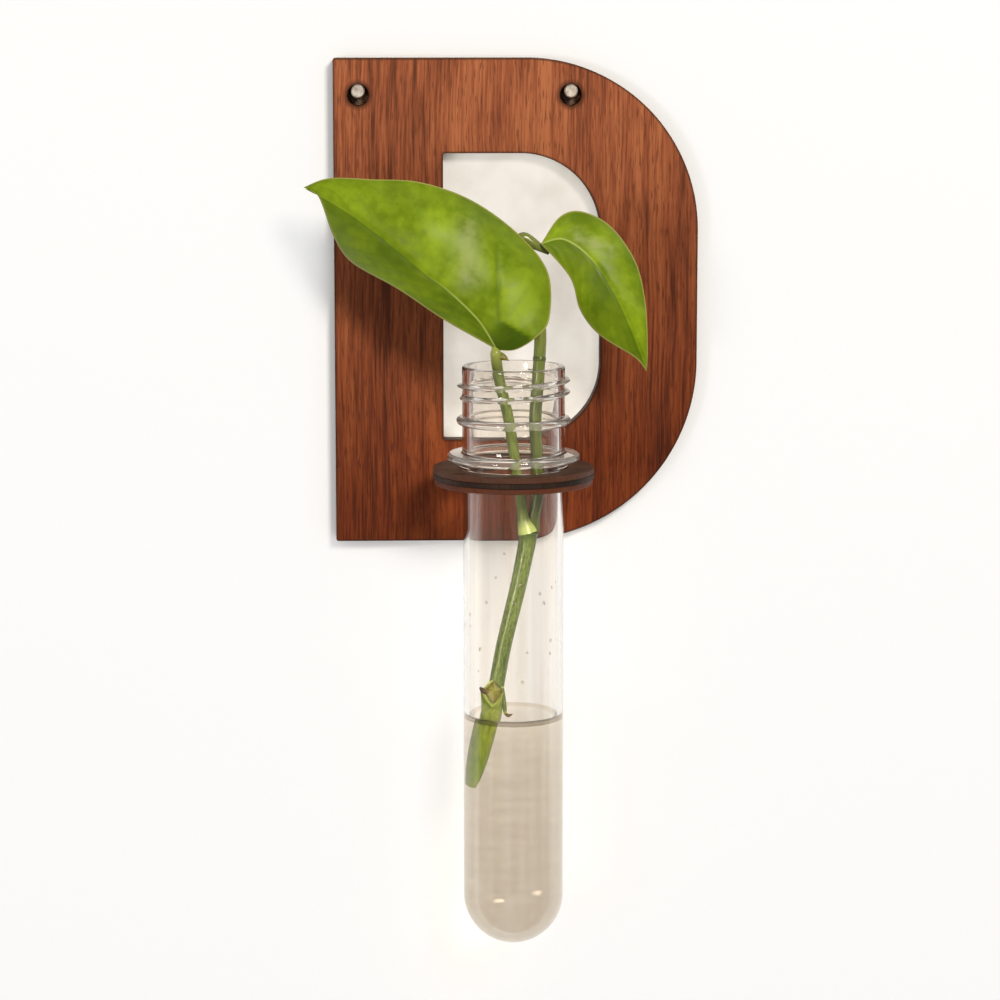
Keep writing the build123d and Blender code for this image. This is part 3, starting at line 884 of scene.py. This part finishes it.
def new_tree(name, inputs, result):
    """An empty Geometry Nodes tree, the function that adds nodes to it, and its inputs' sockets."""
    tree = bpy.data.node_groups.new(name, "GeometryNodeTree")
    for label, kind in inputs.items():
        tree.interface.new_socket(label, in_out="INPUT", socket_type=f"NodeSocket{kind}")
    tree.interface.new_socket(result, in_out="OUTPUT", socket_type="NodeSocketGeometry")
    return tree, functools.partial(add_node, tree), add_node(tree, "NodeGroupInput").outputs


def finish_tree(add, made, skin):
    """Ends a tree: what it made becomes one plain mesh with a material."""
    whole = add("GeometryNodeRealizeInstances", {"Geometry": made})
    skinned = add("GeometryNodeSetMaterial", {"Geometry": whole, "Material": skin})
    add("NodeGroupOutput", (skinned,))


def stem_tree():
    """Sweeps a round stem along a route; the route's point radii set its thickness."""
    inputs = {"Route": "Geometry", "Steps": "Int", "Sides": "Int", "Skin": "Material"}
    tree, add, given = new_tree("stem_along_route", inputs, "Stem")
    route = add("GeometryNodeResampleCurve", {"Curve": given["Route"], "Count": given["Steps"]})
    ring = add("GeometryNodeCurvePrimitiveCircle", {"Resolution": given["Sides"], "Radius": 1.0})
    share = add("GeometryNodeSplineParameter")
    around = add("SeparateXYZ", (add("GeometryNodeInputPosition"),)).outputs
    curves = {"Curve": route, "Profile Curve": ring}
    marks = (
        ("Curve", "along", share),
        ("Profile Curve", "ring_x", around["X"]),
        ("Profile Curve", "ring_y", around["Y"]),
    )
    for curve, label, value in marks:
        inputs = {"Geometry": curves[curve], "Name": label, "Value": value}
        curves[curve] = add("GeometryNodeStoreNamedAttribute", inputs, data_type="FLOAT", domain="POINT")
    thickness = add("GeometryNodeInputRadius")
    swept = add("GeometryNodeCurveToMesh", {**curves, "Scale": thickness, "Fill Caps": True})
    finish_tree(add, swept, given["Skin"])
    return tree


def droplet_tree():
    """Scatters flat droplets over a wall."""
    inputs = {
        "Wall": "Geometry",
        "Density": "Float",
        "Smallest": "Float",
        "Largest": "Float",
        "Seed": "Int",
        "Skin": "Material",
    }
    tree, add, given = new_tree("droplets_on_wall", inputs, "Droplets")
    inputs = {"Mesh": given["Wall"], "Density": given["Density"], "Seed": given["Seed"]}
    spots = add("GeometryNodeDistributePointsOnFaces", inputs).outputs
    inputs = {2: given["Smallest"], 3: given["Largest"], "Seed": given["Seed"]}
    radius = add("FunctionNodeRandomValue", inputs, data_type="FLOAT")
    flat = add("Math", (radius, DROPLET_FLATNESS), operation="MULTIPLY")
    scale = add("CombineXYZ", (radius, radius, flat))
    ball = add("GeometryNodeMeshIcoSphere", {"Radius": 1.0, "Subdivisions": 3})
    inputs = {"Points": spots["Points"], "Instance": ball, "Rotation": spots["Rotation"], "Scale": scale}
    drops = add("GeometryNodeInstanceOnPoints", inputs)
    finish_tree(add, drops, given["Skin"])
    return tree


STEM_TREE = stem_tree()
DROPLET_TREE = droplet_tree()


def evaluated_mesh(carrier, name):
    """The plain mesh that an object's modifiers give. The object itself is then removed."""
    graph = bpy.context.evaluated_depsgraph_get()
    mesh = bpy.data.meshes.new_from_object(carrier.evaluated_get(graph))
    mesh.name = name
    bpy.data.objects.remove(carrier)
    return mesh


def grown_mesh(name, data, tree, values):
    """The plain mesh that a Geometry Nodes tree makes of some data, with the tree's inputs set by name."""
    carrier = link_object(name, data)
    modifier = carrier.modifiers.new(name, "NODES")
    modifier.node_group = tree
    for item in tree.interface.items_tree:
        if item.in_out == "INPUT" and item.name in values:
            modifier[item.identifier] = values[item.name]
    return evaluated_mesh(carrier, name)


def build_droplets():
    """Droplets on the inside of the tube above the water."""
    steps = 48
    turns = np.arange(steps) * 2 * math.pi / steps
    ring = BORE_RADIUS * np.column_stack([np.cos(turns), np.sin(turns)])
    points = [at(x, y, z) for z in DROPLETS_BETWEEN for x, y in ring]
    faces = [(i, steps + i, steps + (i + 1) % steps, (i + 1) % steps) for i in range(steps)]
    smallest, largest = (radius * MM for radius in DROPLET_RADII)
    values = {
        "Density": DROPLETS_PER_SQUARE_METRE,
        "Smallest": smallest,
        "Largest": largest,
        "Seed": DROPLET_SEED,
        "Skin": clear_water,
    }
    mesh = grown_mesh("droplets", new_mesh("droplets", points, faces), DROPLET_TREE, values)
    finish_mesh("droplets", mesh, "tube", clear_water, crease=80)


def stem_piece(name, material, replaced, steps, sides, route):
    """A stem along a smooth line through a route's points, each with its place and its radius."""
    line = smooth_line([(*at(x, y, z), radius) for x, y, z, radius in route], steps)
    curve = bpy.data.curves.new(name, "CURVE")
    curve.dimensions = "3D"
    spline = curve.splines.new("POLY")
    spline.points.add(steps - 1)
    for point, (x, y, z, radius) in zip(spline.points, line * MM):
        point.co = (x, y, z, 1.0)
        point.radius = radius
    mesh = grown_mesh(name, curve, STEM_TREE, {"Steps": steps, "Sides": sides, "Skin": material})
    finish_mesh(name, mesh, "cutting", material, replaced, crease=50)


def build_stems():
    """The vine, the two leaf stalks and the small growths on them."""
    fall = WATER_Z - NODE_Z
    vine = [
        (3.4, -4.0, NODE_Z, 2.45),
        (3.05, -4.0, NODE_Z - 3.5, 2.15),
        (0.85, -4.24, NODE_Z + 0.3 * fall, 2.0),
        (-2.5, -4.4, NODE_Z + 0.6 * fall, 1.92),
        (STUB_TOP[0], STUB_TOP[1] + 0.8, STUB_TOP[2], 1.9),
    ]
    scar = [
        (3.42, -4.0, NODE_Z + 0.1, 2.5),
        (3.38, -4.0, NODE_Z - 0.2, 2.56),
        (3.32, -4.0, NODE_Z - 0.6, 2.3),
    ]
    start = np.array(STUB_TOP)
    run = np.array(STUB_FOOT) - start
    swell = ((-0.06, 2.1), (0.1, 2.5), (0.35, 2.6), (0.65, 2.45), (0.88, 2.05), (1.0, 1.5))
    stub = [(*(start + share * run), radius) for share, radius in swell]
    strip = [
        (-2.9, -6.2, WATER_Z + 8.8, 0.35),
        (-2.6, -6.8, WATER_Z + 5.0, 0.6),
        (-2.2, -7.2, WATER_Z + 1.9, 0.4),
    ]
    bud = [
        (-2.3, -7.2, WATER_Z + 2.2, 0.35),
        (-1.5, -7.6, WATER_Z + 1.7, 0.42),
        (-0.5, -7.8, WATER_Z + 2.1, 0.12),
    ]
    corner = [
        (-8.2, -7.6, WATER_Z + 8.9, 0.3),
        (-7.5, -8.1, WATER_Z + 8.2, 0.65),
        (-6.4, -8.8, WATER_Z + 7.6, 0.2),
    ]
    x, y, z = LARGE_BASE
    large = [
        (3.2, -4.6, NODE_Z, 2.4),
        (2.9, -4.6, NODE_Z + 1.1, 2.1),
        (2.3, -4.55, NODE_Z + 3.0, 1.6),
        (1.95, -4.55, NODE_Z + 5.2, 1.35),
        (1.45, -4.8, 0.4 * NODE_Z, 1.3),
        (-0.22, -5.58, 5.0, 1.3),
        (-1.45, -6.8, 12.9, 1.3),
        (-3.1, -8.03, 20.2, 1.3),
        (-4.25, -8.9, RIM_Z, 1.3),
        (x - 0.35, y + 0.5, z - 1.2, 1.35),
        (x - 0.45, y + 0.7, z, 1.05),
        (x - 1.0, y + 1.1, z + 1.3, 0.35),
    ]
    bract = [
        (-3.7, -9.6, RIM_Z + 3.6, 1.0),
        (-2.6, -10.2, RIM_Z + 3.1, 0.72),
        (-1.6, -10.4, RIM_Z + 2.4, 0.06),
    ]
    joint = [(6.2, -3.26, 26.7, 1.48), (6.24, -3.23, 27.3, 1.64), (6.29, -3.16, 28.0, 1.48)]
    x, y, z = SMALL_BASE
    small = [
        (4.88, -3.4, NODE_Z, 1.4),
        (4.88, -3.4, NODE_Z + 3.5, 1.4),
        (5.69, -3.57, 0.4 * NODE_Z, 1.5),
        (5.5, -3.68, FLANGE_TOP, 1.5),
        (5.13, -3.79, BEAD_Z, 1.5),
        (5.46, -3.68, 18.2, 1.5),
        (6.24, -3.23, 27.3, 1.5),
        (6.36, -2.23, 35.4, 1.5),
        (4.24, -0.78, z - 10.9, 1.5),
        (1.23, 1.4, z - 3.0, 1.5),
        (2.12, 1.5, z + 1.2, 1.4),
        (5.2, 1.5, z - 0.4, 1.3),
        (x + 2.1, 1.4, z - 2.7, 0.4),
    ]
    stem_piece("vine", vine_green, ["vine_stem"], 160, 28, vine)
    stem_piece("node_scar", node_green, [], 16, 28, scar)
    stem_piece("cut_stub", stub_green, [], 160, 28, stub)
    stem_piece("sheath_strip", stalk_green, [], 40, 14, strip)
    stem_piece("dried_bud", dry_tip, [], 40, 14, bud)
    stem_piece("dried_corner", dry_tip, [], 30, 14, corner)
    stem_piece("large_leaf_stalk", stalk_green, ["petiole_large"], 160, 28, large)
    stem_piece("bract", bract_green, [], 40, 14, bract)
    stem_piece("stalk_joint", joint_green, [], 24, 28, joint)
    stem_piece("small_leaf_stalk", rear_stalk_green, ["petiole_small"], 220, 28, small)


def build_cut_node():
    """The lower node: the base of a leaf stalk, cut off, as a cup with a slanting cut and a dried corner."""
    steps, rows = 48, 12
    top, foot = np.array(at(*CUP_TOP)), np.array(at(*CUP_FOOT))
    wide, narrow = CUP_RADII
    turns = np.arange(steps) * 2 * math.pi / steps
    shares = np.arange(rows) / (rows - 1)
    points = []
    for share in shares:
        centre = foot + share * (top - foot)
        radius = narrow + (wide - narrow) * share**0.7
        for turn in turns:
            corner = CUP_CORNER * max(0.0, math.cos(turn - math.radians(CUP_CORNER_TURN))) ** 6
            slant = math.copysign(1 - abs(math.cos(turn)) ** 1.3, math.sin(turn))
            rise = share**2 * (CUP_SLANT * slant + corner)
            offset = (radius * math.cos(turn), CUP_DEPTH_SHARE * radius * math.sin(turn), rise)
            points.append(centre + np.array(offset))
    rim = np.array(points[-steps:])
    middle = rim.mean(axis=0)
    points.append(middle - np.array([0.0, 0.0, CUP_HOLLOW]))
    last = (rows - 1) * steps
    faces = grid_faces(0, rows, steps)
    faces += [(last + i, last + (i + 1) % steps, rows * steps) for i in range(steps)]
    faces.append(tuple(range(steps)))
    marks = {
        "along": [*np.repeat(shares, steps), 1.0],
        "ring_x": [*np.tile(np.cos(turns), rows), 0.0],
        "ring_y": [*np.tile(np.sin(turns), rows), 0.0],
    }
    finish_piece("cut_stalk_base", points, faces, "cutting", sheath_green, attributes=marks)
    disc, dry = [], []
    for lift in (0.12, -0.1):
        for share, burn in ((0.2, 0.0), (0.5, 0.15), (0.7, 0.5), (0.8, 0.9)):
            disc += [*(middle + share * (rim - middle) + np.array([0.35, -lift, 0.5 * lift + 0.25]))]
            dry += [burn] * steps
    front, back = 0, 4 * steps
    faces = []
    for first in (front, back):
        faces += grid_faces(first, 4, steps)
        faces.append(tuple(range(first, first + steps)))
    front, back = front + 3 * steps, back + 3 * steps
    faces += [(front + i, front + (i + 1) % steps, back + (i + 1) % steps, back + i) for i in range(steps)]
    finish_piece("cut_stalk_face", disc, faces, "cutting", cut_face, attributes={"dry": dry})


def bell(distance, reach):
    """A share that is 1 on a line and falls smoothly away from it."""
    return np.exp(-((distance / reach) ** 2))


def from_line(places, first, second):
    """How far each place lies from a straight line between two points."""
    offset = places - np.array(first)
    run = np.array(second) - np.array(first)
    share = np.clip((offset @ run) / (run @ run), 0, 1)
    return np.linalg.norm(offset - share[:, None] * run, axis=1)


def leaf_height(leaf, s, w):
    """How far the blade stands towards the viewer: arched across, bent along."""
    rise = leaf["arch"] - math.sqrt(leaf["arch"] ** 2 - leaf["crest"] ** 2)
    rise += leaf["bend"] - math.sqrt(leaf["bend"] ** 2 - leaf["bend_at"] ** 2)
    across = np.sqrt(np.maximum(leaf["arch"] ** 2 - (w - leaf["crest"]) ** 2, 4.0)) - leaf["arch"]
    return rise - leaf["bend"] + np.sqrt((leaf["bend"] + across) ** 2 - (s - leaf["bend_at"]) ** 2)


def leaf_lobe(places, first, second, bulge):
    """How far a lobe bulges beside its fold line, and the shade on the line's near side."""
    offset = places - np.array(first)
    run = np.array(second) - np.array(first)
    above = (offset[:, 1] * run[0] - offset[:, 0] * run[1]) / np.linalg.norm(run)
    near = 1 / (1 + np.exp(-(offset @ run) / 12))
    base_side = np.clip(1 + above / 6.7, 0, 1)
    far_side = np.exp(-np.maximum(above, 0) / 9)
    shade = LOBE_SHADE * near * np.clip(-above / LOBE_SHADE_REACH, 0, 1)
    return bulge * near * np.where(above < 0, base_side, far_side), shade


def build_leaf(name, node, leaf):
    """A leaf blade: two halves ruled from the midrib to the margin, arched and bent, then thickened."""
    scale = np.array([leaf["length"], leaf["width"]])
    midrib, upper, lower = (
        smooth_line(np.array([(0.0, 0.0), *leaf[part], (1.0, 0.0)]) * scale, LEAF_ROWS)[:, None]
        for part in ("midrib", "upper", "lower")
    )
    columns = np.arange(-LEAF_COLUMNS, LEAF_COLUMNS + 1)
    share = np.abs(columns) / LEAF_COLUMNS
    margin = np.where(columns[:, None] > 0, upper, lower)
    ruled = midrib + share[:, None] * (margin - midrib)
    gap = np.linalg.norm(ruled - midrib, axis=2).ravel()
    folded = np.tile(columns < 0, LEAF_ROWS) & (gap > 0)
    flat = ruled.reshape(-1, 2)
    s, w = flat.T
    blisters = np.sin(s / BLISTER_SIZES[0] + 0.4) * np.sin(w / BLISTER_SIZES[1] + 1.0)
    height = leaf_height(leaf, s, w)
    height -= LEAF_FOLD * gap * folded
    height -= MIDRIB_GROOVE * bell(gap, GROOVE_HALF_WIDTH)
    height += BLISTER_HEIGHT * blisters * np.minimum(gap / BLISTER_RUN_IN, 1)
    across = np.tile(share, LEAF_ROWS)
    # Painted shade: on the folded half, most near the midrib, and towards the upper margin; the crease and
    # the lobe's fold add more
    under = UNDERSIDE_SHADE + MIDRIB_SHADE * np.exp(-gap / MIDRIB_SHADE_REACH)
    shade = np.where(folded, under, MARGIN_SHADE * np.clip((across - 0.55) / 0.4, 0, 1))
    if "crease" in leaf:
        off = from_line(flat, *leaf["crease"])
        height -= CREASE_GROOVE * bell(off, GROOVE_HALF_WIDTH)
        shade = np.maximum(shade, CREASE_SHADE * bell(off, CREASE_SHADE_REACH))
    if "lobe" in leaf:
        bulge, fold_shade = leaf_lobe(flat, *leaf["lobe"])
        height += bulge
        shade = np.maximum(shade, fold_shade * ~folded)
    # Painted sheen: a soft patch along a line on the blade
    *sheen_line, sheen_reach = leaf["painted_sheen"]
    marks = {
        "across": across,
        "along": np.repeat(np.arange(LEAF_ROWS) / (LEAF_ROWS - 1), len(columns)),
        "from_midrib": gap * MM,
        "from_margin": np.linalg.norm(margin - ruled, axis=2).ravel() * MM,
        "shade": shade,
        "painted_sheen": bell(from_line(flat, *sheen_line), sheen_reach),
    }
    turn, tilt = math.radians(leaf["angle"]), math.radians(LEAF_TILT)
    along = np.array([math.cos(turn), math.sin(turn) * math.sin(tilt), math.sin(turn) * math.cos(tilt)])
    normal = np.array([0.0, -math.cos(tilt), math.sin(tilt)])
    left = np.cross(normal, along)
    points = np.array(at(*leaf["base"])) + flat @ np.array([along, left]) + height[:, None] * normal
    mesh = new_mesh(name, points, grid_faces(0, LEAF_ROWS, len(columns), closed=False), marks)
    work = bmesh.new()
    work.from_mesh(mesh)
    bmesh.ops.remove_doubles(work, verts=work.verts, dist=LEAF_MERGE * MM)
    bmesh.ops.recalc_face_normals(work, faces=work.faces)
    if sum(face.normal.dot(Vector(normal)) * face.calc_area() for face in work.faces) < 0:
        bmesh.ops.reverse_faces(work, faces=work.faces)
    work.to_mesh(mesh)
    work.free()
    carrier = link_object(name, mesh)
    thick = carrier.modifiers.new("thickness", "SOLIDIFY")
    thick.thickness = LEAF_THICKNESS * MM
    thick.offset = -1.0
    finish_mesh(name, evaluated_mesh(carrier, name), "cutting", leaf_finish, [node], crease=60)


def paint_pins():
    """The steel pins keep their solid and get their finish."""
    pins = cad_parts["hanging_pins"]
    pins.data.materials.clear()
    pins.data.materials.append(pin_steel)


def plaster(name, pale, cloudy, nook_shut, nook_open):
    """Matt wall plaster, skimmed: pale, in soft clouds, and with painted dark shade in narrow nooks. From
    behind it is clear.
    """
    material, add = new_material(name)
    place = add("TexCoord").outputs["Object"]
    cloud = add("TexNoise", {"Vector": place, "Scale": 1 / (14 * MM), "Detail": 4.0})
    cloud = add("MapRange", (cloud, 0.42, 0.68))
    glow = add("Mix", {0: cloud, 6: srgb(pale), 7: srgb(cloudy)}, data_type="RGBA")
    # Painted shade: where ambient occlusion finds a narrow nook, the paint turns dark brown and the wall's
    # own glow fades
    nook = add("AmbientOcclusion", {"Distance": NOOK_REACH * MM}, samples=8).outputs["AO"]
    painted_nook_shade = add("MapRange", (nook, 0.14, 0.38))
    tone = add("Mix", {0: painted_nook_shade, 6: srgb("#6a4830"), 7: srgb("#f6fafe")}, data_type="RGBA")
    paint = add("BsdfDiffuse", {"Color": tone})
    bright = add("Emission", {"Color": glow, "Strength": 1.0})
    path = add("LightPath").outputs
    seen = path["Is Camera Ray"]
    for ray in ("Is Glossy Ray", "Is Transmission Ray"):
        seen = add("Math", (seen, path[ray]), operation="MAXIMUM")
    share = add("MapRange", (nook, nook_shut, nook_open, 0.0, 0.7))
    share = add("Math", (seen, share), operation="MULTIPLY")
    front = add("MixShader", (share, paint, bright))
    clear = add("BsdfTransparent")
    behind = add("NewGeometry").outputs["Backfacing"]
    whole = add("MixShader", (behind, front, clear))
    add("OutputMaterial", {"Surface": whole})
    return material


def wall_sheet(name, left, right, bottom, top, front, material):
    """A flat upright sheet of wall, facing the viewer."""
    corners = [(left, front, bottom), (right, front, bottom), (right, front, top), (left, front, top)]
    mesh = new_mesh(name, corners, [(0, 1, 2, 3)])
    mesh.materials.append(material)
    link_object(name, mesh)


def build_stage():
    """A white wall, with bare plaster where it shows through the plate, and soft lamps."""
    white = plaster("white_wall", "#ffffff", "#ffffff", 0.42, 0.97)
    wall_sheet("wall", -WALL_REACH, WALL_REACH, -WALL_REACH, WALL_REACH, WALL_FRONT, white)
    bare = plaster("bare_plaster", "#f8f0e5", "#e4d9ca", 0.15, 0.6)
    left, right = plate_low.x + SPINE_WIDTH / 2, plate_high.x - BOWL_WIDTH / 2
    bottom, top = plate_low.z + BOTTOM_BAR / 2, plate_high.z - TOP_BAR / 2
    wall_sheet("bare_wall", left, right, bottom, top, BARE_WALL_FRONT, bare)
    for name, place, size, power, code in LAMPS:
        lamp = bpy.data.lights.new(name, "AREA")
        lamp.size = size * MM
        lamp.energy = power
        lamp.color = srgb(code)[:3]
        holder = link_object(name, lamp)
        holder.location = Vector(place) * MM
        holder.rotation_euler = (Vector(LAMPS_AIM) - Vector(place)).to_track_quat("-Z", "Y").to_euler()


def build_sky():
    """An even warm sky. It is white where it is seen straight on or straight through the clear pieces."""
    world = bpy.data.worlds.new("studio")
    world.use_nodes = True
    world.node_tree.nodes.clear()
    add = functools.partial(add_node, world.node_tree)
    path = add("LightPath").outputs
    straight = add("Math", (path["Glossy Depth"], 0.5), operation="LESS_THAN")
    through = add("Math", (path["Is Transmission Ray"], straight), operation="MULTIPLY")
    seen = add("Math", (path["Is Camera Ray"], through), operation="MAXIMUM")
    soft = add("Background", {"Color": srgb("#fdf6ec"), "Strength": 0.3})
    plain = add("Background", {"Color": srgb("#ffffff"), "Strength": 1.0})
    mixed = add("MixShader", (seen, soft, plain))
    add("OutputWorld", {"Surface": mixed})
    bpy.context.scene.world = world


def build_camera():
    """The photograph's camera."""
    lens = bpy.data.cameras.new("camera")
    lens.lens = CAMERA_LENS
    lens.sensor_width = CAMERA_SENSOR
    lens.clip_end = 20.0
    holder = link_object("camera", lens)
    holder.location = Vector(CAMERA_PLACE) * MM
    holder.rotation_euler = (math.radians(90 - CAMERA_PITCH), 0.0, math.radians(-CAMERA_YAW))
    bpy.context.scene.camera = holder


build_camera()
build_plate()
build_ring()
build_tube()
build_water()
build_droplets()
build_stems()
build_cut_node()
build_leaf("large_leaf_blade", "leaf_large", LARGE)
build_leaf("small_leaf_blade", "leaf_small", SMALL)
paint_pins()
build_stage()
build_sky()
bpy.context.scene.view_settings.view_transform = "Standard"
